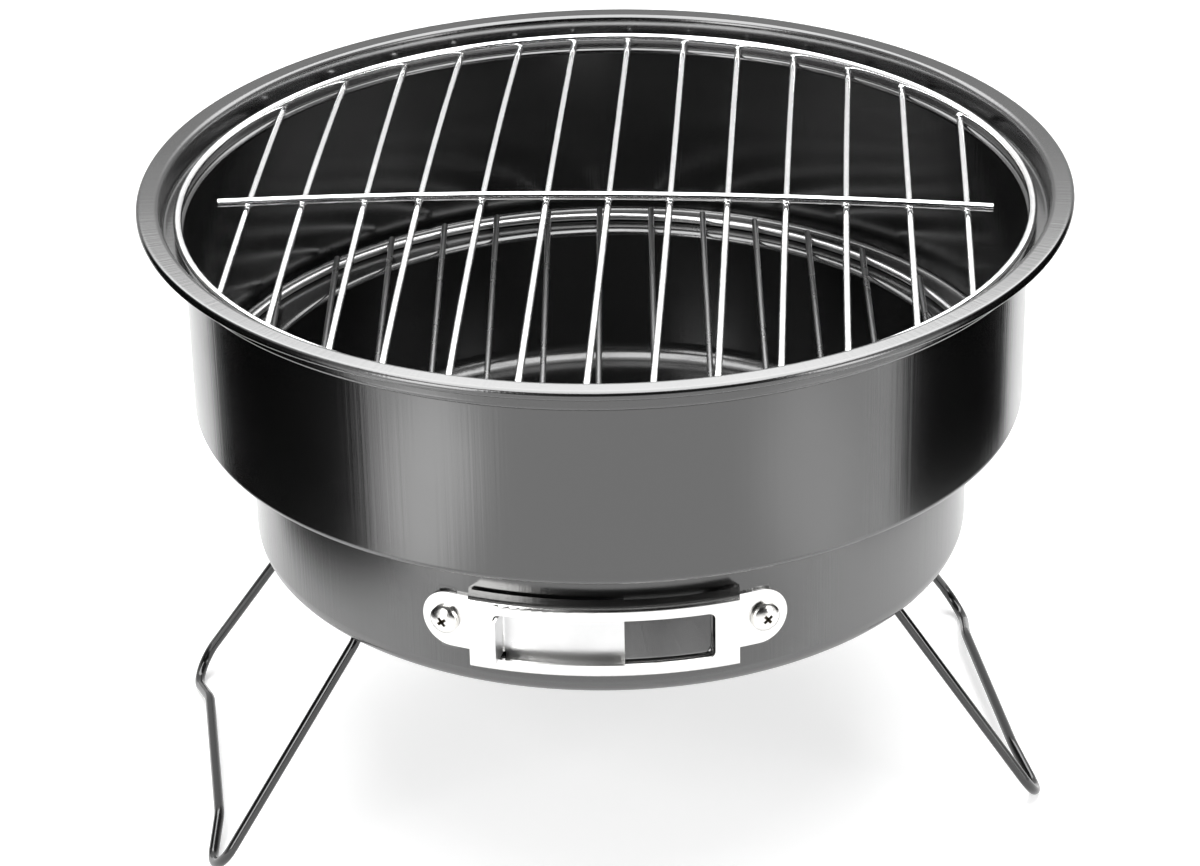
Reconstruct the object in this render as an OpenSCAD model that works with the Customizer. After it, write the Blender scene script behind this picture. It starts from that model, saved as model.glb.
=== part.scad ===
// Portable tabletop charcoal grill: a drawn steel bowl on two folding wire legs,
// a wire cooking grate, a wire charcoal grate and a sliding air vent at the front.
// Origin on the table under the bowl's axis, +Z up, the vent towards -Y.

/* [Bowl] */
// Radius over the rolled edge of the rim
rim_r = 132.5; // [128:0.5:140]
// Width of the flat rim with its rolled edge, from the neck outwards
rim_w = 6.1; // [5:0.1:9]
// Depth from the rim's top to the underside of the grate ledge
neck_h = 8.8; // [8:0.2:14]
// Width of the ledge that carries the cooking grate, between the outsides of the neck and the upper wall
ledge_w = 6.6; // [5.6:0.1:8]
// Depth from the rim's top to the underside of the step
step_depth = 63.9; // [55:0.1:72]
// Width of the step that carries the charcoal grate, between the outsides of the upper and lower walls
step_w = 15.6; // [13:0.2:18]
// Depth from the rim's top to the underside of the floor
bowl_h = 108; // [99:1:125]
// Thickness of the bowl's steel sheet
sheet_t = 0.6; // [0.5:0.05:0.8]
// Centreline radius of the rolled edge
curl_r = 0.9; // [0.8:0.05:1]
// Height of the rolled edge
curl_h = 2.7; // [2.6:0.1:3.2]
// Length of the rolled edge's flat tail
curl_tail = 1.6; // [1.2:0.1:2.4]
// Centreline bend radius where the rim turns into the neck
rim_bend_r = 1.2; // [0.8:0.1:1.6]
// Centreline bend radius at the ledge and at the step
draw_r = 1.9; // [1.2:0.1:2.4]
// Centreline bend radius between the lower wall and the floor
floor_bend_r = 5.5; // [4:0.5:9]

/* [Cooking grate] */
// Gap all round between the grate's ring and the neck
cooking_play = 3.6; // [2.4:0.1:4]
// Wire diameter of the ring
cooking_ring_d = 2.4; // [2:0.1:2.6]
// Number of rods
cooking_rods = 13; // [9:1:15]
// Distance of the outermost rods from the sides of the ring
cooking_edge = 19; // [16:0.5:30]
// Sideways shift of the rods in the ring
cooking_rod_shift = 1.9; // [0:0.1:2]
// Wire diameter of the rods
cooking_rod_d = 2; // [1.6:0.1:2.2]
// Wire diameter of the crossbar
crossbar_d = 2.4; // [2.2:0.1:3]
// Distance of the crossbar's ends from the ring
crossbar_inset = 11.5; // [10:0.5:16]
// Distance of the crossbar from the ring's middle, towards the vent
crossbar_shift = 7.5; // [0:0.5:10]
// Height of the grate's crown over its ring
crown = 3.7; // [2:0.1:5]
// Turn of the grate as it lies in the bowl
cooking_turn = -3.7; // [-90:0.1:90]

/* [Charcoal grate] */
// Gap all round between the grate's ring and the upper wall
charcoal_play = 4.6; // [4.3:0.1:7]
// Wire diameter of the ring
charcoal_ring_d = 2.4; // [2:0.1:2.8]
// Number of rods
charcoal_rods = 13; // [9:1:13]
// Distance of the outermost rods from the sides of the ring
charcoal_edge = 16.2; // [15:0.2:30]
// Wire diameter of the rods
charcoal_rod_d = 1.8; // [1.6:0.1:2.4]
// Length of a rod that stands out past the ring's centreline
charcoal_overhang = 1; // [0.8:0.1:1.2]
// Place of the grate on the step, off the bowl's axis
charcoal_place = [-2.8, -1.8]; // [-2.8:0.1:2.8]
// Turn of the grate as it lies in the bowl
charcoal_turn = -0.7; // [-90:0.1:90]

/* [Air vent] */
// Turn of the vent about the bowl, positive towards +X
vent_azimuth = -1.5; // [-20:0.5:20]
// Height of the vent's middle over the bowl's underside
vent_h = 20.9; // [19:0.1:24]
// Width of the bracket's raised face, straight across
face_w = 73.2; // [70:0.2:76]
// Height of the bracket's raised face
face_h = 21.6; // [20:0.2:23]
// How far the raised face stands out from the bowl
face_stand = 6; // [5.6:0.1:8]
// Gap between the bowl and the bracket's top and bottom edges
edge_gap = 1.1; // [0.8:0.1:1.3]
// Thickness of the bracket's plate
bracket_t = 0.8; // [0.6:0.1:1]
// Centreline bend radius of the bracket
bracket_bend_r = 1.2; // [0.9:0.1:1.6]
// Width of the window in the face
window_w = 60; // [56:0.5:62]
// Height of the window
window_h = 13.8; // [12:0.2:15]
// Corner radius of the window
window_corner_r = 1.8; // [1:0.1:3]
// Height of the screw tabs
tab_h = 16.6; // [14:0.2:19]
// Distance of a tab's round end from the middle of its screw
tab_end = 7; // [6:0.2:9]
// Distance between the two screws, along the bowl
screw_spacing = 88.6; // [86:0.2:92]
// Width of the air hole in the bowl
air_hole_w = 27; // [20:0.5:27.5]
// Height of the air hole in the bowl
air_hole_h = 17; // [12:0.5:17]
// Middle of the air hole from the vent's middle, along the bowl
air_hole_shift = 15.6; // [15:0.1:16]
// Width of the shutter, along its curve
shutter_w = 33.4; // [31:0.2:34]
// Thickness of the shutter
shutter_t = 0.7; // [0.5:0.1:0.9]
// How far the shutter's finger tab stands out
finger_l = 7.4; // [5:0.2:9]
// Height of the finger tab
finger_h = 12.8; // [8:0.2:13]
// Centreline bend radius of the finger tab
finger_bend_r = 0.9; // [0.6:0.1:1.4]

/* [Legs] */
// Height of the leg pivots over the table
pivot_h = 72; // [64:1:80]
// Distance of the leg pivots below the floor of the bowl
pivot_drop = 5; // [4.6:0.2:8]
// Distance of each pivot axis inside the lower wall
pivot_inset = 29.3; // [26:0.1:32]
// Distance between a leg's two sides at the pivots
leg_top_w = 92.8; // [86:0.1:98]
// Splay of a leg's sides
leg_splay = 8.8; // [5:0.1:14]
// Outward tilt of the open legs
leg_tilt = 33.6; // [25:0.1:38]
// Wire diameter of the legs
leg_d = 3; // [2.6:0.1:3.4]
// Rise of the middle of the foot bar over the feet
foot_rise = 8.9; // [6:0.1:14]
// Length of a foot, from its tip to the middle bar
foot_run = 27.4; // [22:0.1:32]
// Centreline bend radius of the feet
foot_bend_r = 8.8; // [6:0.1:9.5]
// Centreline bend radius between the feet and the middle bar
bar_bend_r = 14; // [6:1:18]
// Centreline bend radius beside the pivots
leg_bend_r = 7; // [5:0.2:8]
// Length of the straight pin that turns in the bracket
pin_l = 5.4; // [5:0.2:7]
// Turn of the pair of legs under the bowl
leg_turn = 7; // [-15:0.1:15]
// Place of the pair of legs, off the bowl's axis
leg_place = [-2.8, -1.1]; // [-3:0.1:3]
// Thickness of the leg brackets' plate
clip_t = 1.2; // [1:0.1:1.5]
// Width of the leg brackets' strip
clip_w = 9; // [8.6:0.1:12]
// Radius of the leg brackets' ears round the pins
ear_r = 3.8; // [3.4:0.1:4.3]
// Length of a leg bracket's stop, along the open leg
stop_l = 4.6; // [3.6:0.1:6]
// Radial running clearance of the pins
pin_clear = 0.06; // [0.03:0.01:0.1]
// Gap between an open leg and its stop
stop_gap = 0.1; // [0.05:0.05:0.3]
// Distance between the two rivets of a bracket
rivet_spacing = 44; // [36:1:50]

/* [Fasteners] */
// Diameter of the vent screws
screw_d = 3.9; // [3.5:0.1:4]
// Diameter of the screw heads
head_d = 8.3; // [7.5:0.1:9]
// Height of the screw heads
head_h = 2.6; // [2.2:0.1:3]
// Length of the screws under the head
screw_l = 7; // [6:0.5:10]
// Size of the hexagon nuts across their corners
nut_d = 8; // [7.5:0.1:8.1]
// Height of the nuts
nut_h = 3.2; // [2.4:0.1:3.2]
// Diameter of the rivets
rivet_d = 4; // [3:0.1:4.2]
// Diameter of the rivet heads
rivet_head_d = 7.4; // [6.6:0.1:8]
// Height of the rivet heads
rivet_head_h = 1.6; // [1.2:0.1:1.8]

/* [Hidden] */
function numbered(prefix, count) = [for (i = [1 : count]) str(prefix, i)];

$fn = 64;
// Facets of the big turned shapes
fine = 180;
// How far welded wires sink into each other
weld = 0.15;
// Free gap that keeps neighbours apart
seat_gap = 0.05;
// Clearance of screws and rivets in their holes, on the diameter
hole_clear = 0.2;
// Overrun of cutting tools
over = 2;
// Wire bends come out this much thinner than the straight runs, which reach this far into them
bend_thin = 0.02;
bend_lap = 0.05;
// Play of the vent shutter between the bowl's wall and the bracket
shutter_play = 0.4;
// Distance of the shutter's finger tab from the end of the window
finger_inset = 0.6;
// Play of a leg between the ears of its bracket, at each end
leg_play = 0.6;

neck_r = rim_r - rim_w;
wall_r = neck_r - ledge_w;
well_r = wall_r - step_w;

rim_z = pivot_h + pivot_drop + bowl_h;
floor_z = rim_z - bowl_h;
ledge_z = rim_z - neck_h + sheet_t;
step_z = rim_z - step_depth + sheet_t;
vent_z = floor_z + vent_h;

// Length along a circle of radius r as an angle
function arc_deg(length, r) = length / r * 180 / PI;

// ---- Bent sheet and bent wire ----
// A path is a list of [x, y, bend radius]. Bends keep their centreline radius.

function spot(p) = [p[0], p[1]];
function unit(v) = v / norm(v);
function heading(v) = atan2(v[1], v[0]);
function inside_angle(a, b, c) = acos(unit(a - b) * unit(c - b));

// Distance from a corner to the start of its bend
function reach(path, i) =
    path[i][2] == 0 ? 0 :
    path[i][2] / tan(inside_angle(spot(path[i - 1]), spot(path[i]), spot(path[i + 1])) / 2);

// Ends of the straight run from point i to point i + 1, which may lap over its bends
function run_from(path, i, lap = 0) =
    spot(path[i]) + unit(spot(path[i + 1]) - spot(path[i])) * (reach(path, i) - (i > 0 ? lap : 0));
function run_to(path, i, lap = 0) =
    spot(path[i + 1])
        - unit(spot(path[i + 1]) - spot(path[i])) * (reach(path, i + 1) - (i + 2 < len(path) ? lap : 0));

// Centre, first angle and sweep of the bend at point i, always counted anticlockwise
function bend_centre(path, i) = let (
    a = unit(spot(path[i - 1]) - spot(path[i])),
    b = unit(spot(path[i + 1]) - spot(path[i]))
) spot(path[i]) + unit(a + b) * path[i][2] / sin(acos(a * b) / 2);
function turns_left(path, i) =
    cross(spot(path[i]) - spot(path[i - 1]), spot(path[i + 1]) - spot(path[i])) > 0;
function bend_from(path, i) =
    heading((turns_left(path, i) ? run_to(path, i - 1) : run_from(path, i)) - bend_centre(path, i));
function bend_sweep(path, i) =
    180 - inside_angle(spot(path[i - 1]), spot(path[i]), spot(path[i + 1]));

// Flat ring sector of centreline radius r and thickness t
module ring_sector(r, t, from, sweep) {
    far = 2 * (r + t);
    steps = 4;
    rotate(from) intersection() {
        difference() {
            circle(r + t / 2);
            circle(r - t / 2);
        }
        polygon([
            [0, 0],
            for (k = [0 : steps]) far * [cos(sweep * k / steps), sin(sweep * k / steps)]
        ]);
    }
}

// Section of a sheet of thickness t bent along a path
module bent_sheet(path, t) {
    for (i = [0 : len(path) - 2]) {
        a = run_from(path, i);
        b = run_to(path, i);
        translate(a) rotate(heading(b - a)) translate([0, -t / 2]) square([norm(b - a), t]);
    }
    for (i = [1 : len(path) - 2]) translate(bend_centre(path, i))
        ring_sector(path[i][2], t, bend_from(path, i), bend_sweep(path, i));
}

// Round wire of diameter d bent along a path in the XY plane
module bent_wire(path, d) {
    for (i = [0 : len(path) - 2]) {
        a = run_from(path, i, bend_lap);
        b = run_to(path, i, bend_lap);
        translate(a) rotate([0, 90, heading(b - a)]) cylinder(d = d, h = norm(b - a), $fn = 32);
    }
    for (i = [1 : len(path) - 2]) translate(bend_centre(path, i)) rotate(bend_from(path, i))
        rotate_extrude(angle = bend_sweep(path, i))
            translate([path[i][2], 0]) circle(d = d - bend_thin, $fn = 32);
}

// Rectangle with round corners, built up so that its corners stay true arcs
module rounded_rect(w, h, r) {
    square([w - 2 * r, h], center = true);
    square([w, h - 2 * r], center = true);
    for (x = [-1, 1], y = [-1, 1]) translate([x * (w / 2 - r), y * (h / 2 - r)]) circle(r);
}

// ---- Bowl ----
// One drawn pot: rolled edge, flat rim, neck, grate ledge, upper wall, step, well and floor.

module bowl_section() {
    half = sheet_t / 2;
    bent_sheet([
        [rim_r - half - curl_tail, rim_z - curl_h + half, 0],
        [rim_r - half, rim_z - curl_h + half, curl_r],
        [rim_r - half, rim_z - half, curl_r],
        [neck_r - half, rim_z - half, rim_bend_r],
        [neck_r - half, ledge_z - half, draw_r],
        [wall_r - half, ledge_z - half, draw_r],
        [wall_r - half, step_z - half, draw_r],
        [well_r - half, step_z - half, draw_r],
        [well_r - half, floor_z + half, floor_bend_r],
        [0, floor_z + half, 0]
    ], sheet_t);
}

module bowl() color([0.1, 0.1, 0.1]) difference() {
    rotate_extrude($fn = fine) bowl_section();
    at_vent(arc_deg(air_hole_shift, well_r)) translate([0, 0, well_r - over])
        linear_extrude(2 * over) rounded_rect(air_hole_w, air_hole_h, window_corner_r);
    at_screws() translate([0, 0, well_r - over]) cylinder(d = screw_d + hole_clear, h = 2 * over);
    at_rivets() translate([0, 0, -over]) cylinder(d = rivet_d + hole_clear, h = 2 * over);
}

// ---- Air vent ----
// Children lie in the XY plane with +X to the right and +Y up, and +Z runs outwards from the bowl's axis.
module at_vent(turn = 0) {
    translate([0, 0, vent_z]) rotate(vent_azimuth + turn) rotate([90, 0, 0]) children();
}

screw_turn = arc_deg(screw_spacing, well_r) / 2;
module at_screws() for (side = [-1, 1]) at_vent(side * screw_turn) children();

// Part of a turned shape, from one angle to another as seen from the vent's middle
module swept(from, to) {
    rotate(270 + vent_azimuth + from) rotate_extrude(angle = to - from, $fn = fine) children();
}

face_r = well_r + face_stand;
tab_r = well_r + seat_gap;

// Block of width w across the vent, which squares off the ends of the raised face
module across_vent(w) at_vent() translate([-w / 2, -face_h, 0]) cube([w, 2 * face_h, face_r + over]);

// Section of the raised face before it is hollowed, with its outer bends
module bracket_section() {
    r = bracket_bend_r + bracket_t / 2;
    translate([tab_r, vent_z]) {
        translate([0, -face_h / 2]) square([face_r - r - tab_r, face_h]);
        translate([0, r - face_h / 2]) square([face_r - tab_r, face_h - 2 * r]);
        for (side = [-1, 1]) translate([face_r - tab_r - r, side * (face_h / 2 - r)]) circle(r);
    }
}

// Section of the hollow, which also trims the top and bottom edges off the bowl
module bracket_hollow_section() {
    r = bracket_bend_r - bracket_t / 2;
    h = face_h - 2 * bracket_t;
    depth = face_stand - bracket_t + over;
    translate([well_r - over, vent_z]) {
        translate([0, -h / 2]) square([depth - r, h]);
        translate([0, r - h / 2]) square([depth, h - 2 * r]);
        for (side = [-1, 1]) translate([depth - r, side * (h / 2 - r)]) circle(r);
        translate([0, -face_h]) square([edge_gap + over, 2 * face_h]);
    }
}

// Screw tab with a round end, curved with the bowl
module bracket_tab(side) {
    to_face = tab_r * sin(screw_turn - asin((face_w - bracket_t) / 2 / tab_r));
    end_x = tab_end - tab_h / 2;
    difference() {
        intersection() {
            translate([0, 0, vent_z - tab_h]) difference() {
                cylinder(r = tab_r + bracket_t, h = 2 * tab_h, $fn = fine);
                translate([0, 0, -over]) cylinder(r = tab_r, h = 2 * tab_h + 2 * over, $fn = fine);
            }
            at_vent(side * screw_turn) linear_extrude(2 * tab_r) {
                translate([side * end_x, 0]) circle(d = tab_h);
                translate([side > 0 ? -to_face : -end_x, -tab_h / 2]) square([to_face + end_x, tab_h]);
            }
        }
        at_vent(side * screw_turn) cylinder(d = screw_d + hole_clear, h = 2 * tab_r);
    }
}

module vent_bracket() color([0.8, 0.8, 0.8]) {
    sweep_half = arc_deg(face_w / 2 + over, well_r);
    difference() {
        intersection() {
            swept(-sweep_half, sweep_half) bracket_section();
            across_vent(face_w);
        }
        intersection() {
            swept(-sweep_half, sweep_half) bracket_hollow_section();
            across_vent(face_w - 2 * bracket_t);
        }
        at_vent() translate([0, 0, well_r]) linear_extrude(face_stand + over)
            rounded_rect(window_w, window_h, window_corner_r);
    }
    for (side = [-1, 1]) bracket_tab(side);
}

// The shutter slides round the bowl on the bracket's lower edge
shutter_r = well_r + edge_gap + shutter_play + shutter_t / 2;
shutter_h = face_h - 2 * bracket_t - 2 * seat_gap;
finger_turn = -arc_deg(window_w / 2 - finger_inset - shutter_t / 2, face_r);

module vent_shutter() color([0.85, 0.85, 0.85]) {
    bend_deg = arc_deg(finger_bend_r, shutter_r);
    swept(finger_turn + bend_deg, finger_turn + arc_deg(shutter_w, shutter_r))
        translate([shutter_r, vent_z]) square([shutter_t, shutter_h], center = true);
    translate([0, 0, vent_z - finger_h / 2]) rotate(270 + vent_azimuth + finger_turn)
        linear_extrude(finger_h) bent_sheet([
            [shutter_r, 2 * finger_bend_r, 0],
            [shutter_r, 0, finger_bend_r],
            [shutter_r + finger_l, 0, 0]
        ], shutter_t);
}

module pan_screw() {
    brim = head_h / 2;
    dome_r = (pow(head_d / 2, 2) + brim * brim) / (2 * brim);
    slot = [head_d / 2, head_d / 8];
    difference() {
        intersection() {
            cylinder(d = head_d, h = head_h);
            translate([0, 0, head_h - dome_r]) sphere(dome_r, $fn = 96);
        }
        for (turn = [0, 90]) rotate(turn) translate([0, 0, head_h])
            cube([slot[0], slot[1], head_h], center = true);
    }
    translate([0, 0, -screw_l]) cylinder(d = screw_d, h = screw_l + seat_gap);
}

module vent_screws() color([0.8, 0.8, 0.75])
    at_screws() translate([0, 0, tab_r + bracket_t + seat_gap]) pan_screw();

module vent_nuts() color([0.7, 0.7, 0.7])
    at_screws() translate([0, 0, well_r - sheet_t - 3 * seat_gap - nut_h]) difference() {
        cylinder(d = nut_d, h = nut_h, $fn = 6);
        translate([0, 0, -over]) cylinder(d = screw_d + hole_clear, h = nut_h + 2 * over);
    }

// ---- Legs ----
// Children stand for the left leg, with the pivot axis along Y. The right one is the same part turned round.
module at_leg(side) {
    translate(leg_place) rotate(side < 0 ? leg_turn : leg_turn + 180)
        translate([pivot_inset - well_r, 0, 0]) children();
}

// Lowest point of the leg's centreline, measured down the leg from its pivots
leg_reach = (pivot_h - leg_d / 2) / cos(leg_tilt);
foot_toe = [-foot_run, -foot_rise];
foot_side = [-sin(leg_splay), -cos(leg_splay)];
// Drop from the middle of a foot's bend to the corner of its two straights
foot_corner_drop = -(unit(foot_side + unit(foot_toe)) * foot_bend_r
    / sin(acos(foot_side * unit(foot_toe)) / 2))[1];
foot_y = leg_reach - foot_bend_r + foot_corner_drop;
foot_x = leg_top_w / 2 + foot_y * tan(leg_splay);
pin_start = leg_top_w / 2 - leg_bend_r - pin_l;

// Wire of one leg, laid out flat: X along the pivots and Y down the leg
function leg_half() = [
    [pin_start, 0, 0],
    [leg_top_w / 2, 0, leg_bend_r],
    [foot_x, foot_y, foot_bend_r],
    [foot_x - foot_run, foot_y - foot_rise, bar_bend_r]
];
function leg_path() = concat(
    leg_half(),
    [for (i = [3 : -1 : 0]) [-leg_half()[i][0], leg_half()[i][1], leg_half()[i][2]]]
);

module leg(side) color([0.05, 0.05, 0.05])
    at_leg(side) translate([0, 0, pivot_h]) rotate([0, leg_tilt, 0]) rotate([-90, 0, 90])
        bent_wire(leg_path(), leg_d);

module left_leg() leg(-1);
module right_leg() leg(1);

// Half the length of a bracket over its two ears
clip_half = pin_start + pin_l - leg_play;

// Stop that catches the open leg at its bend, folded out from one ear
module leg_stop() {
    rotate([0, leg_tilt, 0])
        translate([-leg_d / 2 - stop_gap - clip_t, clip_half - clip_t, -stop_l - clip_t])
            cube([clip_t, clip_t + leg_bend_r, stop_l]);
}

module leg_bracket(side) color([0.3, 0.3, 0.3]) at_leg(side) translate([0, 0, pivot_h]) difference() {
    union() {
        intersection() {
            translate([clip_w / 2, 0, 0]) rotate([90, 0, -90]) linear_extrude(clip_w) bent_sheet([
                [-clip_half + clip_t / 2, -ear_r, 0],
                [-clip_half + clip_t / 2, pivot_drop - clip_t / 2, clip_t],
                [clip_half - clip_t / 2, pivot_drop - clip_t / 2, clip_t],
                [clip_half - clip_t / 2, -ear_r, 0]
            ], clip_t);
            union() {
                rotate([90, 0, 0]) cylinder(r = ear_r, h = 2 * clip_half, center = true);
                translate([-ear_r, -clip_half, 0]) cube([2 * ear_r, 2 * clip_half, pivot_drop]);
                translate([-clip_w / 2, -clip_half, pivot_drop - 2 * clip_t])
                    cube([clip_w, 2 * clip_half, 2 * clip_t]);
            }
        }
        leg_stop();
    }
    rotate([90, 0, 0]) cylinder(r = leg_d / 2 + pin_clear, h = 2 * clip_half + over, center = true);
    for (end = [-1, 1]) translate([0, end * rivet_spacing / 2, pivot_drop - clip_t - over])
        cylinder(d = rivet_d + hole_clear, h = clip_t + 2 * over);
}

module left_leg_bracket() leg_bracket(-1);
module right_leg_bracket() leg_bracket(1);

module at_rivets() for (side = [-1, 1], end = [-1, 1])
    at_leg(side) translate([0, end * rivet_spacing / 2, floor_z]) children();

module rivet() {
    grip = sheet_t + clip_t;
    dome_r = (pow(rivet_head_d / 2, 2) + pow(rivet_head_h, 2)) / (2 * rivet_head_h);
    translate([0, 0, -clip_t]) cylinder(d = rivet_d, h = grip);
    for (end = [0, 1]) translate([0, 0, end ? sheet_t : -clip_t]) mirror([0, 0, 1 - end]) intersection() {
        cylinder(d = rivet_head_d, h = rivet_head_h);
        translate([0, 0, rivet_head_h - dome_r]) sphere(dome_r);
    }
}

module leg_bracket_rivets() color([0.5, 0.5, 0.5]) at_rivets() rivet();

// ---- Cooking grate ----
// The welded grate is slightly crowned: its rods and crossbar follow one shallow dome.

cooking_ring_r = neck_r - sheet_t - cooking_play - cooking_ring_d / 2;
cooking_pitch = 2 * (cooking_ring_r - cooking_edge) / (cooking_rods - 1);
dome_r = (pow(cooking_ring_r, 2) + crown * crown) / (2 * crown);
rod_seat_z = ledge_z + seat_gap + cooking_rod_d / 2;
cooking_ring_z = rod_seat_z + (cooking_rod_d + cooking_ring_d) / 2 - weld;
dome_z = rod_seat_z - (dome_r - crown);
crossbar_lift = (cooking_rod_d + crossbar_d) / 2 - weld;

// Wire of half length l on the dome, in the plane x = offset
module dome_wire(offset, l, d, lift = 0) {
    r = sqrt(pow(dome_r + lift, 2) - offset * offset);
    half = asin(l / r);
    translate([offset, 0, dome_z]) rotate([90, 0, 90]) rotate(90 - half)
        rotate_extrude(angle = 2 * half, $fn = 8 * fine) translate([r, 0]) circle(d = d, $fn = 24);
}

module in_cooking_grate() color([0.9, 0.9, 0.9]) rotate(cooking_turn) children();

module cooking_ring() in_cooking_grate() translate([0, 0, cooking_ring_z])
    rotate_extrude($fn = fine) translate([cooking_ring_r, 0]) circle(d = cooking_ring_d, $fn = 24);

module cooking_crossbar() in_cooking_grate()
    rotate(90) dome_wire(-crossbar_shift, cooking_ring_r - crossbar_inset, crossbar_d, crossbar_lift);

module cooking_rod(i) in_cooking_grate() {
    x = (i - (cooking_rods + 1) / 2) * cooking_pitch + cooking_rod_shift;
    end_r = cooking_ring_r + cooking_ring_d / 4;
    dome_wire(x, sqrt(end_r * end_r - x * x), cooking_rod_d);
}

// ---- Charcoal grate ----
// The ring lies on the bowl's step and carries straight rods on top.

charcoal_ring_r = wall_r - sheet_t - charcoal_play - charcoal_ring_d / 2;
charcoal_pitch = 2 * (charcoal_ring_r - charcoal_edge) / (charcoal_rods - 1);
charcoal_ring_z = step_z + seat_gap + charcoal_ring_d / 2;
charcoal_rod_z = charcoal_ring_z + (charcoal_ring_d + charcoal_rod_d) / 2 - weld;

module in_charcoal_grate() color([0.55, 0.55, 0.55])
    translate(charcoal_place) rotate(charcoal_turn) children();

module charcoal_ring() in_charcoal_grate() translate([0, 0, charcoal_ring_z])
    rotate_extrude($fn = fine) translate([charcoal_ring_r, 0]) circle(d = charcoal_ring_d, $fn = 24);

module charcoal_rod(i) in_charcoal_grate() {
    x = (i - (charcoal_rods + 1) / 2) * charcoal_pitch;
    end_r = charcoal_ring_r + charcoal_overhang;
    translate([x, 0, charcoal_rod_z]) rotate([90, 0, 0])
        cylinder(d = charcoal_rod_d, h = 2 * sqrt(end_r * end_r - x * x), center = true, $fn = 24);
}

bowl();
vent_bracket();
vent_shutter();
vent_screws();
vent_nuts();
left_leg_bracket();
right_leg_bracket();
leg_bracket_rivets();
left_leg();
right_leg();
cooking_ring();
cooking_crossbar();
charcoal_ring();
for (i = [1 : cooking_rods]) cooking_rod(i);
for (i = [1 : charcoal_rods]) charcoal_rod(i);
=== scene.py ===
import math

import bmesh
import bpy
from mathutils import Matrix, Vector


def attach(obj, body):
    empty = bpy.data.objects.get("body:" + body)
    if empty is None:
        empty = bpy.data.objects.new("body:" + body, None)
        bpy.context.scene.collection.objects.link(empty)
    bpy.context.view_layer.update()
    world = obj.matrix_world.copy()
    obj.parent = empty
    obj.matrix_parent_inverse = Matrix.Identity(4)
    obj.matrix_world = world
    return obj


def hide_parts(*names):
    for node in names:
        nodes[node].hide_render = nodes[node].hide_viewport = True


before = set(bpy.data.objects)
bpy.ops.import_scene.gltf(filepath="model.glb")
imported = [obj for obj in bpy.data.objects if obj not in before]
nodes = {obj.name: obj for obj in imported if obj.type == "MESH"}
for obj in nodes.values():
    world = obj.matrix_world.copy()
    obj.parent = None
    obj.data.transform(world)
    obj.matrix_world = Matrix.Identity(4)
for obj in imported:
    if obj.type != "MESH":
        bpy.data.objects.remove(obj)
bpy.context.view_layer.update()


# ---- Bowl ----
# One round pot drawn from 0.6 mm sheet steel: rolled edge, flat rim, grate ledge, step and floor.
# It is sprayed with a thin satin black heat-proof coating, and the drawing lines of the steel
# still show faintly through it. The vent, the screws and the leg rivets have their holes in it.

def new_group(name, inputs, outputs):
    """An empty node group with named sockets, and its input and output nodes."""
    tree = bpy.data.node_groups.new(name, "ShaderNodeTree")
    for label, kind in inputs:
        tree.interface.new_socket(label, in_out="INPUT", socket_type=kind)
    for label, kind in outputs:
        tree.interface.new_socket(label, in_out="OUTPUT", socket_type=kind)
    return tree, tree.nodes.new("NodeGroupInput"), tree.nodes.new("NodeGroupOutput")


def add(tree, kind, **values):
    """A node with its properties set, and its unlinked sockets by name."""
    node = tree.nodes.new(kind)
    for key, value in values.items():
        if hasattr(node, key):
            setattr(node, key, value)
        else:
            node.inputs[key.replace("_", " ")].default_value = value
    return node


def math_node(tree, operation, *values):
    """A Math node fed by sockets or numbers."""
    node = tree.nodes.new("ShaderNodeMath")
    node.operation = operation
    for i, value in enumerate(values):
        if isinstance(value, (int, float)):
            node.inputs[i].default_value = value
        else:
            tree.links.new(value, node.inputs[i])
    return node.outputs[0]


def drawn_lines_group():
    """Faint lines that run up a drawn sheet: fine round its axis, long along it."""
    tree, inp, out = new_group(
        "drawn_lines",
        [("Lines Round", "NodeSocketFloat"), ("Lines Along", "NodeSocketFloat")],
        [("Lines", "NodeSocketFloat")],
    )
    place = tree.nodes.new("ShaderNodeTexCoord")
    parts = tree.nodes.new("ShaderNodeSeparateXYZ")
    tree.links.new(place.outputs["Object"], parts.inputs[0])
    turn = math_node(tree, "ARCTAN2", parts.outputs["Y"], parts.outputs["X"])
    across = math_node(tree, "MULTIPLY", turn, inp.outputs["Lines Round"])
    along = math_node(tree, "MULTIPLY", parts.outputs["Z"], inp.outputs["Lines Along"])
    joined = tree.nodes.new("ShaderNodeCombineXYZ")
    tree.links.new(across, joined.inputs["X"])
    tree.links.new(along, joined.inputs["Y"])
    noise = add(tree, "ShaderNodeTexNoise", Scale=1.0, Detail=3.0, Roughness=0.6)
    tree.links.new(joined.outputs[0], noise.inputs["Vector"])
    tree.links.new(noise.outputs["Fac"], out.inputs["Lines"])
    return tree


drawn_lines = drawn_lines_group()


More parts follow.
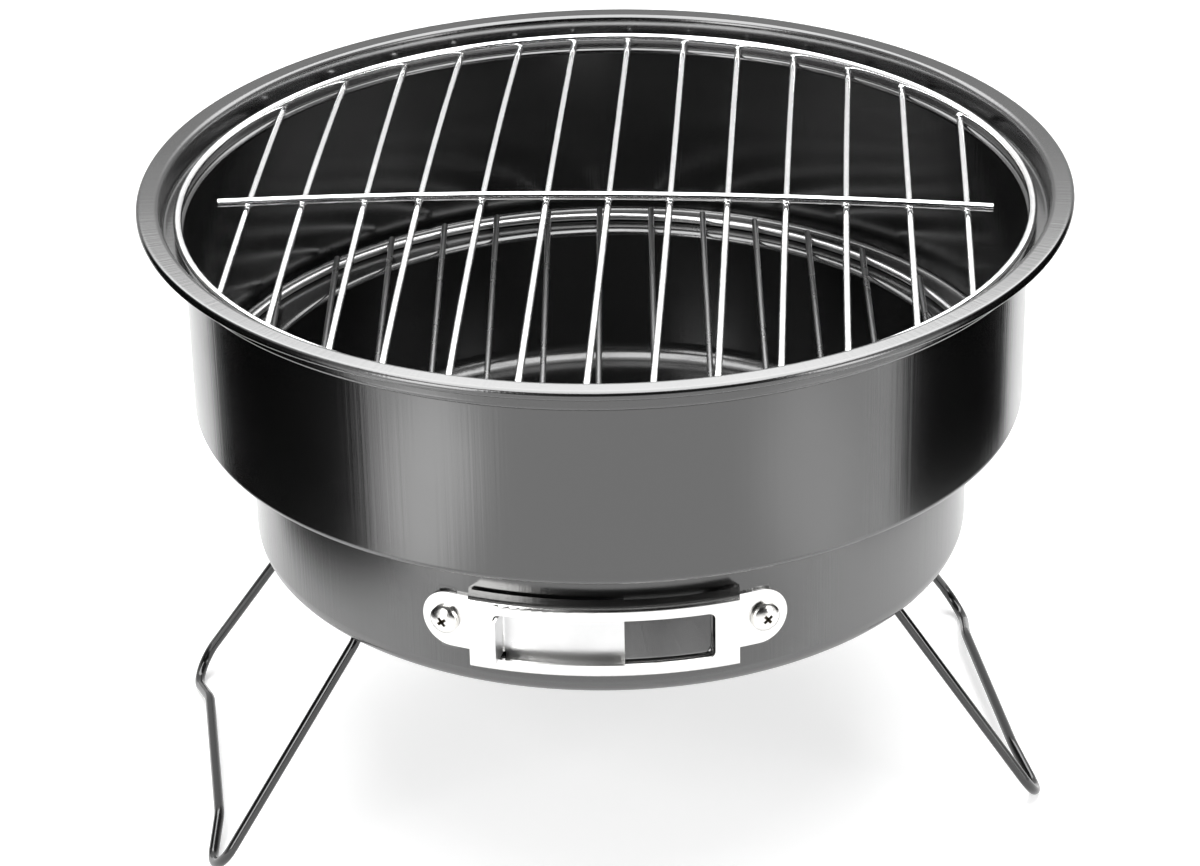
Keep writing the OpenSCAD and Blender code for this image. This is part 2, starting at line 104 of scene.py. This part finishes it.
def surface_group():
    """Cloudy variation of a finish: its colour, its roughness and a fine grain for the bump."""
    tree, inp, out = new_group(
        "surface",
        [
            ("Colour A", "NodeSocketColor"),
            ("Colour B", "NodeSocketColor"),
            ("Cloud Scale", "NodeSocketFloat"),
            ("Grain Scale", "NodeSocketFloat"),
            ("Roughness Low", "NodeSocketFloat"),
            ("Roughness High", "NodeSocketFloat"),
        ],
        [("Colour", "NodeSocketColor"), ("Roughness", "NodeSocketFloat"), ("Grain", "NodeSocketFloat")],
    )
    place = tree.nodes.new("ShaderNodeTexCoord")
    cloud = add(tree, "ShaderNodeTexNoise", Detail=4.0, Roughness=0.55)
    tree.links.new(place.outputs["Object"], cloud.inputs["Vector"])
    tree.links.new(inp.outputs["Cloud Scale"], cloud.inputs["Scale"])
    grain = add(tree, "ShaderNodeTexNoise", Detail=2.0, Roughness=0.5)
    tree.links.new(place.outputs["Object"], grain.inputs["Vector"])
    tree.links.new(inp.outputs["Grain Scale"], grain.inputs["Scale"])
    spread = tree.nodes.new("ShaderNodeMapRange")
    spread.inputs["From Min"].default_value = 0.3
    spread.inputs["From Max"].default_value = 0.7
    tree.links.new(cloud.outputs["Fac"], spread.inputs["Value"])
    tree.links.new(inp.outputs["Roughness Low"], spread.inputs["To Min"])
    tree.links.new(inp.outputs["Roughness High"], spread.inputs["To Max"])
    mix = tree.nodes.new("ShaderNodeMix")
    mix.data_type = "RGBA"
    tree.links.new(cloud.outputs["Fac"], mix.inputs["Factor"])
    tree.links.new(inp.outputs["Colour A"], mix.inputs[6])
    tree.links.new(inp.outputs["Colour B"], mix.inputs[7])
    tree.links.new(mix.outputs[2], out.inputs["Colour"])
    tree.links.new(spread.outputs["Result"], out.inputs["Roughness"])
    tree.links.new(grain.outputs["Fac"], out.inputs["Grain"])
    return tree


surface = surface_group()


def finish(
    name, colour_a, colour_b, roughness, metallic=0.0, clouds=30.0, grain=1200.0, relief=0.00002,
    **sockets,
):
    """A material made with the surface group. Its relief is in metres, and IOR is set by name."""
    material = bpy.data.materials.new(name)
    material.use_nodes = True
    tree = material.node_tree
    shader = tree.nodes["Principled BSDF"]
    group = tree.nodes.new("ShaderNodeGroup")
    group.node_tree = surface
    group.name = "surface"
    group.inputs["Colour A"].default_value = (*colour_a, 1.0)
    group.inputs["Colour B"].default_value = (*colour_b, 1.0)
    group.inputs["Cloud Scale"].default_value = clouds
    group.inputs["Grain Scale"].default_value = grain
    group.inputs["Roughness Low"].default_value = roughness[0]
    group.inputs["Roughness High"].default_value = roughness[1]
    bump = tree.nodes.new("ShaderNodeBump")
    bump.name = "relief"
    bump.inputs["Strength"].default_value = 1.0
    bump.inputs["Distance"].default_value = relief
    tree.links.new(group.outputs["Colour"], shader.inputs["Base Color"])
    tree.links.new(group.outputs["Roughness"], shader.inputs["Roughness"])
    tree.links.new(group.outputs["Grain"], bump.inputs["Height"])
    tree.links.new(bump.outputs["Normal"], shader.inputs["Normal"])
    shader.inputs["Metallic"].default_value = metallic
    for key, value in sockets.items():
        shader.inputs[key.replace("_", " ")].default_value = value
    return material


def coat_nodes(material, *names):
    """Gives the named pieces, kept as they came, their finish."""
    for name in names:
        for slot in nodes[name].material_slots:
            slot.material = material


bowl_black = finish(
    "satin black coating", (0.0015, 0.0015, 0.0015), (0.003, 0.003, 0.003), (0.17, 0.22),
    clouds=18.0, grain=2500.0, relief=0.000002, IOR=2.0,
)
coating = bowl_black.node_tree
lines = coating.nodes.new("ShaderNodeGroup")
lines.node_tree = drawn_lines
lines.inputs["Lines Round"].default_value = 110.0
lines.inputs["Lines Along"].default_value = 5.0
waves = coating.nodes.new("ShaderNodeBump")
waves.inputs["Strength"].default_value = 1.0
waves.inputs["Distance"].default_value = 0.00004
coating.links.new(lines.outputs["Lines"], waves.inputs["Height"])
coating.links.new(waves.outputs["Normal"], coating.nodes["relief"].inputs["Normal"])

sheet_thickness = 0.0006
# Radius, height and bend radius of each corner of the sheet's middle, from the rolled edge inwards
bowl_corners = [
    (0.1306, 0.1826, 0.0), (0.13215, 0.1826, 0.0009), (0.13215, 0.1847, 0.0009),
    (0.1261, 0.1847, 0.0012), (0.1261, 0.1765, 0.0014), (0.1195, 0.1765, 0.0014),
    (0.1195, 0.1214, 0.0017), (0.1039, 0.1214, 0.0017), (0.1039, 0.0773, 0.0055),
    (0.0, 0.0773, 0.0),
]
bend_segments = 6
bend_guard = 0.0003  # how far past a bend the line beside it lies
bowl_steps = 240
weld_distance = 1e-6
# The vent's middle is a little left of the front. The wall has a line vent_band above and below it.
vent_height = 0.0979
vent_turn = math.radians(-1.5)
vent_band = 0.010


def bent_profile(bm, corners, extra):
    """Wire of a bent sheet in the XZ plane, with a line beside each bend that keeps its flats flat."""
    points = []
    for i, (radius, height, bend) in enumerate(corners):
        here = Vector((radius, 0.0, height))
        if bend == 0.0:
            points.append((here, 0.0))
            continue
        before = Vector((corners[i - 1][0], 0.0, corners[i - 1][1])) - here
        after = Vector((corners[i + 1][0], 0.0, corners[i + 1][1])) - here
        hold = bend + bend_guard
        if before.length > 3.0 * hold:
            points.append((here + before.normalized() * hold, 0.0))
        points.append((here, bend))
        if after.length > 3.0 * hold:
            points.append((here + after.normalized() * hold, 0.0))
    for place in extra:
        below = (
            i for i, (point, _) in enumerate(points)
            if point.z < place.z and point.x <= place.x + weld_distance
        )
        points.insert(next(below), (place, 0.0))
    verts = [bm.verts.new(point) for point, _ in points]
    for a, b in zip(verts, verts[1:]):
        bm.edges.new((a, b))
    for vert, (_, bend) in zip(verts, points):
        if bend:
            bmesh.ops.bevel(
                bm, geom=[vert], affect="VERTICES", offset=bend, offset_type="OFFSET",
                segments=bend_segments, profile=0.5, material=-1,
            )


def new_piece(name, bm, body, material):
    """Makes a bmesh a smooth-shaded piece that rides on a body."""
    mesh = bpy.data.meshes.new(name)
    bm.to_mesh(mesh)
    bm.free()
    mesh.materials.append(material)
    mesh.polygons.foreach_set("use_smooth", [True] * len(mesh.polygons))
    piece = bpy.data.objects.new(name, mesh)
    bpy.context.scene.collection.objects.link(piece)
    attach(piece, body)
    return piece


def cut_holes(piece, tools):
    """Cuts a piece with each tool, a bmesh, and keeps the result as its mesh."""
    cutters = []
    for tool in tools:
        mesh = bpy.data.meshes.new("cutter")
        tool.to_mesh(mesh)
        tool.free()
        cutter = bpy.data.objects.new("cutter", mesh)
        bpy.context.scene.collection.objects.link(cutter)
        cutters.append(cutter)
        knife = piece.modifiers.new("cut", "BOOLEAN")
        knife.operation = "DIFFERENCE"
        knife.solver = "EXACT"
        knife.object = cutter
    view = bpy.context.evaluated_depsgraph_get()
    cut_mesh = bpy.data.meshes.new_from_object(piece.evaluated_get(view))
    piece.modifiers.clear()
    piece.data = cut_mesh
    for cutter in cutters:
        bpy.data.objects.remove(cutter)


def at_vent(angle, radius):
    """Frame on the bowl's wall: X to the right, Y up, Z outwards, turned from the vent's middle."""
    around = Matrix.Rotation(vent_turn + angle, 4, "Z")
    upright = Matrix.Rotation(math.pi / 2, 4, "X")
    return Matrix.Translation((0, 0, vent_height)) @ around @ upright @ Matrix.Translation((0, 0, radius))


def drill(radius, place):
    """A round cutter that goes through the sheet along the Z axis of its place."""
    bm = bmesh.new()
    bmesh.ops.create_cone(
        bm, cap_ends=True, segments=32, radius1=radius, radius2=radius, depth=0.004, matrix=place,
    )
    return bm


bm = bmesh.new()
lower_wall = bowl_corners[7][0]
vent_lines = [Vector((lower_wall, 0.0, vent_height + rise)) for rise in (vent_band, -vent_band)]
bent_profile(bm, bowl_corners, vent_lines)
bmesh.ops.spin(
    bm, geom=bm.verts[:] + bm.edges[:], cent=(0, 0, 0), axis=(0, 0, 1), angle=math.tau,
    steps=bowl_steps, use_merge=True,
)
bmesh.ops.remove_doubles(bm, verts=bm.verts, dist=weld_distance)
bmesh.ops.recalc_face_normals(bm, faces=bm.faces)
bowl = new_piece("bowl_shell", bm, "bowl_assembly", bowl_black)
wall = bowl.modifiers.new("sheet", "SOLIDIFY")
wall.thickness = sheet_thickness
wall.offset = 0.0
wall.use_even_offset = True

# The air hole is a slot with round corners, right of the vent's middle.
wall_radius = 0.1042
air_hole_size = (0.027, 0.017, 0.008)
air_hole_corner = 0.0018
air_hole_shift = 0.0156
air_hole = bmesh.new()
bmesh.ops.create_cube(air_hole, size=1.0, matrix=Matrix.Diagonal((*air_hole_size, 1.0)))
hole_corners = [
    edge for edge in air_hole.edges if abs((edge.verts[0].co - edge.verts[1].co).z) > air_hole_size[2] / 2
]
bmesh.ops.bevel(
    air_hole, geom=hole_corners, affect="EDGES", offset=air_hole_corner, offset_type="OFFSET", segments=5,
    profile=0.5, material=-1,
)
air_hole_place = at_vent(air_hole_shift / wall_radius, wall_radius)
bmesh.ops.transform(air_hole, matrix=air_hole_place, verts=air_hole.verts)
holes = [air_hole]

# One hole for each vent screw, and two for the rivets of each leg bracket.
screw_hole = 0.00205
screw_spacing = 0.0886
screw_turn = screw_spacing / wall_radius / 2
for side in (-1, 1):
    holes.append(drill(screw_hole, at_vent(side * screw_turn, wall_radius)))
rivet_hole = 0.0021
rivet_radius = 0.0749
rivet_offset = 0.022
leg_pair_middle = Matrix.Translation((-0.0028, -0.0011, 0.0773))
leg_pair_turn = math.radians(7.0)
for half_turn in (0.0, math.pi):
    bracket_side = leg_pair_middle @ Matrix.Rotation(leg_pair_turn + half_turn, 4, "Z")
    for end in (-1, 1):
        rivet_place = Matrix.Translation((-rivet_radius, end * rivet_offset, 0.0))
        holes.append(drill(rivet_hole, bracket_side @ rivet_place))
cut_holes(bowl, holes)
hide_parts("bowl")


# ---- Air vent ----
# A bright nickel-plated bracket pressed from 0.8 mm sheet, screwed to the bowl through its two
# round tabs. A brushed shutter slides round behind its window, moved by a folded finger tab.

nickel = finish(
    "nickel plate", (0.9, 0.895, 0.88), (0.82, 0.815, 0.8), (0.14, 0.24), metallic=1.0,
    clouds=60.0, grain=3000.0, relief=0.000004,
)
shutter_finish = finish(
    "brushed shutter", (0.85, 0.85, 0.85), (0.65, 0.65, 0.65), (0.24, 0.36), metallic=1.0,
    clouds=60.0, grain=3000.0, relief=0.000004,
)
coat_nodes(nickel, "vent_bracket")
coat_nodes(shutter_finish, "vent_shutter")

# Radius and height of each corner of a pan-head screw, from the end of its shank to the crown
screw_corners = [
    (0.0, -0.007), (0.00195, -0.007), (0.00195, 0.0), (0.00415, 0.0), (0.00415, 0.0011), (0.0040, 0.0014),
    (0.0034, 0.0018), (0.0026, 0.0022), (0.0014, 0.0025), (0.0, 0.0026),
]
screw_seat = 0.1051
# The cross recess is two flat tapered blades, sunk into the head.
recess_tip, recess_mouth, recess_depth = 0.0011, 0.0026, 0.0024
recess_height = 0.0021
recess_turn = math.radians(38)
blade_thickness = 0.3
bm = bmesh.new()
recesses = []
for side in (-1, 1):
    seat = at_vent(side * screw_turn, screw_seat)
    profile = [bm.verts.new((radius, 0.0, height)) for radius, height in screw_corners]
    wires = [bm.edges.new(pair) for pair in zip(profile, profile[1:])]
    bmesh.ops.spin(
        bm, geom=profile + wires, cent=(0, 0, 0), axis=(0, 0, 1), angle=math.tau, steps=40, use_merge=True,
    )
    fresh = [vert for vert in bm.verts if not vert.tag]
    bmesh.ops.transform(bm, matrix=seat, verts=fresh)
    for vert in bm.verts:
        vert.tag = True
    for blade in (0.0, math.pi / 2):
        recess = bmesh.new()
        bmesh.ops.create_cone(
            recess, cap_ends=True, segments=4, radius1=recess_tip, radius2=recess_mouth, depth=recess_depth,
            matrix=Matrix.Rotation(math.pi / 4, 4, "Z"),
        )
        blade_turn = Matrix.Rotation(blade + recess_turn, 4, "Z")
        flat = Matrix.Diagonal((1.0, blade_thickness, 1.0, 1.0))
        bmesh.ops.transform(
            recess, verts=recess.verts,
            matrix=seat @ Matrix.Translation((0, 0, recess_height)) @ blade_turn @ flat,
        )
        for face in recess.faces:
            # The recess faces take the second material: a golden tint with painted shade.
            face.material_index = 1
        recesses.append(recess)
bmesh.ops.remove_doubles(bm, verts=bm.verts, dist=weld_distance)
bmesh.ops.recalc_face_normals(bm, faces=bm.faces)
screw_nickel = finish(
    "nickel screw", (0.86, 0.85, 0.83), (0.7, 0.69, 0.67), (0.16, 0.28), metallic=1.0, clouds=400.0,
    grain=3000.0, relief=0.000006,
)
# The cross recess is a dark brownish metal. It has a golden tint, and painted shade makes it much darker
# than the head.
recess_tint_and_shade = finish(
    "screw recess tint and painted shade", (0.2, 0.17, 0.12), (0.1, 0.09, 0.07), (0.4, 0.5), metallic=1.0, clouds=800.0,
    grain=3000.0, relief=0.000006,
)
screws = new_piece("vent_screw_pair", bm, "bowl_assembly", screw_nickel)
screws.data.materials.append(recess_tint_and_shade)
cut_holes(screws, recesses)
screws.data.set_sharp_from_angle(angle=math.radians(35))
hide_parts("vent_screws")


# ---- Leg brackets and fasteners ----
# The leg brackets are bent from 1.2 mm strip, painted black and riveted under the floor.
# Nuts and rivets are plain zinc-plated steel.

bracket_paint = finish(
    "black bracket paint", (0.012, 0.012, 0.012), (0.02, 0.02, 0.02), (0.25, 0.35), clouds=60.0,
)
zinc = finish(
    "zinc plate", (0.62, 0.62, 0.6), (0.5, 0.5, 0.49), (0.28, 0.42), metallic=1.0, clouds=200.0,
)
coat_nodes(bracket_paint, "left_leg_bracket", "right_leg_bracket")
coat_nodes(zinc, "vent_nuts", "leg_bracket_rivets")


# ---- Legs ----
# Each leg is one 3 mm spring-steel wire bent to a frame and dipped in gloss black paint. Its ends
# are turned inwards as pins, which turn in the ears of its bracket.

leg_paint = finish(
    "black leg paint", (0.004, 0.004, 0.004), (0.008, 0.008, 0.008), (0.1, 0.18), clouds=90.0,
    grain=900.0, relief=0.000006, IOR=1.7,
)
coat_nodes(leg_paint, "left_leg", "right_leg")


# ---- Cooking grate ----
# Thirteen 2 mm rods spot-welded under a round wire ring, and a crossbar over them, all bright
# chrome-plated. The rods are laid by hand, so none is quite straight or in line.

chrome = finish(
    "chrome wire", (0.95, 0.95, 0.95), (0.9, 0.9, 0.9), (0.12, 0.22), metallic=1.0, clouds=120.0,
    relief=0.000004,
)
coat_nodes(chrome, "cooking_ring", "cooking_crossbar")

grate_turn = Matrix.Rotation(math.radians(-3.7), 4, "Z")
grate_ring = 0.121
grate_rod = 0.001
grate_crown = 0.0037
grate_dome = (grate_ring ** 2 + grate_crown ** 2) / (2 * grate_crown)  # radius of the crowned shape
rod_seat = 0.17785
rod_reach = 0.1216
rod_pitch = 0.017
rod_shift = 0.0019
rod_end_round = 0.0003
bead_radius = 0.0012
weld_inset = 0.003
crossbar_y = -0.0075
ring_weld = Vector((0, 0, 0.0009))
crossbar_weld = Vector((0, 0, 0.001))
# Sideways drift of each rod's front end and back end and the bow of its middle, in mm
rod_lay = [
    (-1.5, -0.3, -0.15), (-2.8, -0.9, -0.56), (-1.6, -1.0, -0.4), (-3.6, -1.3, -0.67), (-2.6, -0.6, -0.71),
    (-1.3, -0.9, 0.06), (-0.5, -1.2, 0.34), (-0.3, -0.8, 0.39), (-0.7, -0.8, -0.16), (-1.4, -0.5, -0.41),
    (-1.0, -0.7, -0.64), (0.4, -1.6, -0.17), (-1.4, -1.7, 0.07),
]


def weld_bead(bm, place, along):
    """A bead of weld on a rod, long along it and flat on top."""
    turned = along.to_track_quat("Y", "Z").to_matrix().to_4x4()
    flattened = Matrix.Diagonal((1.0, 1.35, 0.7, 1.0))
    bmesh.ops.create_uvsphere(
        bm, u_segments=10, v_segments=6, radius=bead_radius,
        matrix=Matrix.Translation(place) @ turned @ flattened,
    )


for i, (front, rear, bow) in enumerate(rod_lay, start=1):
    x = (i - 7) * rod_pitch + rod_shift
    y = math.sqrt(rod_reach ** 2 - x ** 2)
    start = Vector((x + front / 1000, -y, rod_seat))
    chord = Vector((x + rear / 1000, y, rod_seat)) - start
    rise = chord.length ** 2 / (8 * grate_dome)
    half = math.asin(chord.length / 2 / grate_dome)
    centre = Vector((0, 0, rise - grate_dome))
    bm = bmesh.new()
    bmesh.ops.create_circle(
        bm, segments=14, radius=grate_rod,
        matrix=Matrix.Translation(centre) @ Matrix.Rotation(half, 4, "X")
        @ Matrix.Translation((0, 0, grate_dome)) @ Matrix.Rotation(math.pi / 2, 4, "X"),
    )
    bmesh.ops.spin(
        bm, geom=bm.verts[:] + bm.edges[:], cent=centre, axis=(1, 0, 0), angle=-2 * half, steps=20,
    )
    caps = bmesh.ops.holes_fill(bm, edges=[edge for edge in bm.edges if edge.is_boundary])["faces"]
    rims = [edge for face in caps for edge in face.edges]
    bmesh.ops.bevel(
        bm, geom=rims, affect="EDGES", offset=rod_end_round, offset_type="OFFSET", segments=2,
        profile=0.5, material=-1,
    )
    bmesh.ops.recalc_face_normals(bm, faces=bm.faces)
    lean = math.asin(bow / 1000 / rise)
    lay = Matrix.Translation(start + chord / 2) @ Matrix.Rotation(-math.atan2(chord.x, chord.y), 4, "Z")
    bmesh.ops.transform(bm, matrix=lay @ Matrix.Rotation(lean, 4, "Y"), verts=bm.verts)
    for share in (weld_inset, 1 - weld_inset):
        weld_bead(bm, start + share * chord + ring_weld, chord)
    share = 0.5 + crossbar_y / chord.length
    crossing = start + share * chord + Vector((bow / 1000, 0, rise)) * (1 - (2 * share - 1) ** 2)
    weld_bead(bm, crossing + crossbar_weld, Vector((1, 0, 0)))
    bmesh.ops.transform(bm, matrix=grate_turn, verts=bm.verts)
    rod = new_piece(f"grill_rod_{i}", bm, "cooking_grate", chrome)
    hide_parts(f"cooking_rod_{i}")


# ---- Charcoal grate ----
# A ring and thirteen thinner straight rods, spot-welded and given a plain grey zinc plate. It lies
# loose on the step of the bowl.

charcoal_plate = finish(
    "charcoal grate plate", (0.55, 0.55, 0.55), (0.45, 0.45, 0.45), (0.26, 0.3), metallic=1.0, clouds=30.0,
    grain=200.0, relief=0.0000005,
)
coat_nodes(charcoal_plate, "charcoal_ring", *(f"charcoal_rod_{i}" for i in range(1, 14)))


# ---- Floor and light ----
# A pale floor in a white room, a large soft light overhead and smaller ones at the front. Bright
# and dark cards stand and lie round the grill and show only in its reflections.

def stage_material(name, colour, strength):
    """Pale and matt for the light that falls on it, plain white for the camera and in reflections."""
    material = bpy.data.materials.new(name)
    material.use_nodes = True
    tree = material.node_tree
    tree.nodes.clear()
    out = tree.nodes.new("ShaderNodeOutputMaterial")
    matt = tree.nodes.new("ShaderNodeBsdfDiffuse")
    matt.inputs["Color"].default_value = (*colour, 1.0)
    white = tree.nodes.new("ShaderNodeEmission")
    white.inputs["Strength"].default_value = strength
    path = tree.nodes.new("ShaderNodeLightPath")
    seen = math_node(tree, "MAXIMUM", path.outputs["Is Camera Ray"], path.outputs["Is Glossy Ray"])
    seen = math_node(tree, "MAXIMUM", seen, path.outputs["Is Transmission Ray"])
    both = tree.nodes.new("ShaderNodeAddShader")
    none = tree.nodes.new("ShaderNodeEmission")
    none.inputs["Strength"].default_value = 0.0
    pick = tree.nodes.new("ShaderNodeMixShader")
    tree.links.new(seen, pick.inputs[0])
    tree.links.new(none.outputs[0], pick.inputs[1])
    tree.links.new(white.outputs[0], pick.inputs[2])
    tree.links.new(matt.outputs[0], both.inputs[0])
    tree.links.new(pick.outputs[0], both.inputs[1])
    tree.links.new(both.outputs[0], out.inputs["Surface"])
    return material


floor_mesh = bpy.data.meshes.new("floor")
bm = bmesh.new()
bmesh.ops.create_circle(bm, cap_ends=True, segments=64, radius=6.0)
bm.to_mesh(floor_mesh)
bm.free()
floor = bpy.data.objects.new("floor", floor_mesh)
bpy.context.scene.collection.objects.link(floor)
floor_mesh.materials.append(stage_material("pale floor", (0.8, 0.8, 0.8), 0.5))

world = bpy.data.worlds.new("white room")
bpy.context.scene.world = world
world.use_nodes = True
sky = world.node_tree
sky.nodes.clear()
world_out = sky.nodes.new("ShaderNodeOutputWorld")
background = sky.nodes.new("ShaderNodeBackground")
path = sky.nodes.new("ShaderNodeLightPath")
seen = math_node(sky, "MAXIMUM", path.outputs["Is Camera Ray"], path.outputs["Is Glossy Ray"])
seen = math_node(sky, "MAXIMUM", seen, path.outputs["Is Transmission Ray"])
level = sky.nodes.new("ShaderNodeMapRange")
level.inputs["To Min"].default_value = 0.35
level.inputs["To Max"].default_value = 1.0
sky.links.new(seen, level.inputs["Value"])
sky.links.new(level.outputs["Result"], background.inputs["Strength"])
sky.links.new(background.outputs[0], world_out.inputs["Surface"])


def soft_light(name, place, aim, size, power):
    """A rectangular soft light, turned to shine at a point."""
    data = bpy.data.lights.new(name, "AREA")
    data.shape = "RECTANGLE"
    data.size, data.size_y = size
    data.energy = power
    light = bpy.data.objects.new(name, data)
    bpy.context.scene.collection.objects.link(light)
    facing = (Vector(aim) - Vector(place)).to_track_quat("-Z", "Y").to_matrix().to_4x4()
    light.matrix_world = Matrix.Translation(place) @ facing
    light.visible_camera = False


soft_light("overhead", (0.0, 0.05, 0.85), (0.0, 0.0, 0.15), (0.8, 0.9), 12.0)
soft_light("front left", (-0.75, -0.9, 0.55), (0.0, 0.0, 0.12), (0.5, 0.9), 9.0)
soft_light("front right", (0.95, -0.7, 0.5), (0.0, 0.0, 0.12), (0.4, 0.8), 5.0)


def card(name, corners, strength, blur):
    """A soft-edged card that shows only in reflections, with its blur as a share of its size."""
    mesh = bpy.data.meshes.new(name)
    sheet_bm = bmesh.new()
    sheet_bm.faces.new([sheet_bm.verts.new(corner) for corner in corners])
    sheet_bm.to_mesh(mesh)
    sheet_bm.free()
    material = bpy.data.materials.new(name)
    material.use_nodes = True
    tree = material.node_tree
    tree.nodes.clear()
    place = tree.nodes.new("ShaderNodeTexCoord")
    parts = tree.nodes.new("ShaderNodeSeparateXYZ")
    tree.links.new(place.outputs["Generated"], parts.inputs[0])
    cover = 1.0
    for k, values in enumerate(zip(*corners)):
        if min(values) == max(values):
            continue
        far = math_node(tree, "SUBTRACT", 1.0, parts.outputs[k])
        near = math_node(tree, "MINIMUM", parts.outputs[k], far)
        edge = tree.nodes.new("ShaderNodeMapRange")
        edge.interpolation_type = "SMOOTHSTEP"
        edge.inputs["From Max"].default_value = blur
        tree.links.new(near, edge.inputs["Value"])
        cover = math_node(tree, "MULTIPLY", cover, edge.outputs["Result"])
    clear = tree.nodes.new("ShaderNodeBsdfTransparent")
    glow = tree.nodes.new("ShaderNodeEmission")
    glow.inputs["Strength"].default_value = strength
    pick = tree.nodes.new("ShaderNodeMixShader")
    tree.links.new(cover, pick.inputs[0])
    tree.links.new(clear.outputs[0], pick.inputs[1])
    tree.links.new(glow.outputs[0], pick.inputs[2])
    out = tree.nodes.new("ShaderNodeOutputMaterial")
    tree.links.new(pick.outputs[0], out.inputs["Surface"])
    mesh.materials.append(material)
    piece = bpy.data.objects.new(name, mesh)
    bpy.context.scene.collection.objects.link(piece)
    piece.visible_camera = False
    piece.visible_diffuse = False
    piece.visible_shadow = False
    piece.visible_transmission = False


def card_beside(x, y_from, y_to, z_from, z_to):
    """Corners of a card that stands beside the grill."""
    return [(x, y_from, z_from), (x, y_to, z_from), (x, y_to, z_to), (x, y_from, z_to)]


def card_across(y, reach, z_from, z_to):
    """Corners of a card that stands behind or in front of the grill."""
    return [(-reach, y, z_from), (reach, y, z_from), (reach, y, z_to), (-reach, y, z_to)]


def card_lying(x_from, x_to, y_from, y_to, z=0.002):
    """Corners of a card that lies on the floor."""
    return [(x_from, y_from, z), (x_to, y_from, z), (x_to, y_to, z), (x_from, y_to, z)]


card("dark_card_left", card_beside(-0.2, -0.165, 0.06, 0.012, 0.3), 0.0, 0.1)
card("dark_card_right", card_beside(0.2, -0.11, 0.075, 0.035, 0.3), 0.0, 0.1)
card("back_card", card_across(0.3, 0.5, 0.322, 0.7), 5.6, 0.25)
card("dark_room", card_across(-1.5, 2.0, 0.1, 2.6), 0.0, 0.05)
card("front_card", card_lying(-0.5, 0.5, -0.62, -0.13), 1.4, 0.15)
card("bright_card_left", card_lying(-0.36, -0.16, -0.41, -0.17, 0.003), 3.2, 0.35)
card("bright_card_right", card_lying(0.17, 0.38, -0.38, -0.14, 0.003), 2.1, 0.35)


# ---- Camera ----
# It looks down at the grill from the front, 1.13 m away, and leans a little to one side.

camera_data = bpy.data.cameras.new("camera")
camera_data.sensor_width = 36.0
camera_data.lens = 115.474
camera = bpy.data.objects.new("camera", camera_data)
bpy.context.scene.collection.objects.link(camera)
bpy.context.scene.camera = camera
elevation = math.radians(27.733)
roll = math.radians(-1.193)
aim = Vector((-0.002776, 0.0, 0.104053))
distance = 1.128593
back = Vector((0.0, -math.cos(elevation), math.sin(elevation)))
right = Vector((1.0, 0.0, 0.0))
up = back.cross(right)
side = math.cos(roll) * right + math.sin(roll) * up
top = -math.sin(roll) * right + math.cos(roll) * up
turn = Matrix((side, top, back)).transposed().to_4x4()
camera.matrix_world = Matrix.Translation(aim + distance * back) @ turn

bpy.context.scene.view_settings.view_transform = "Standard"
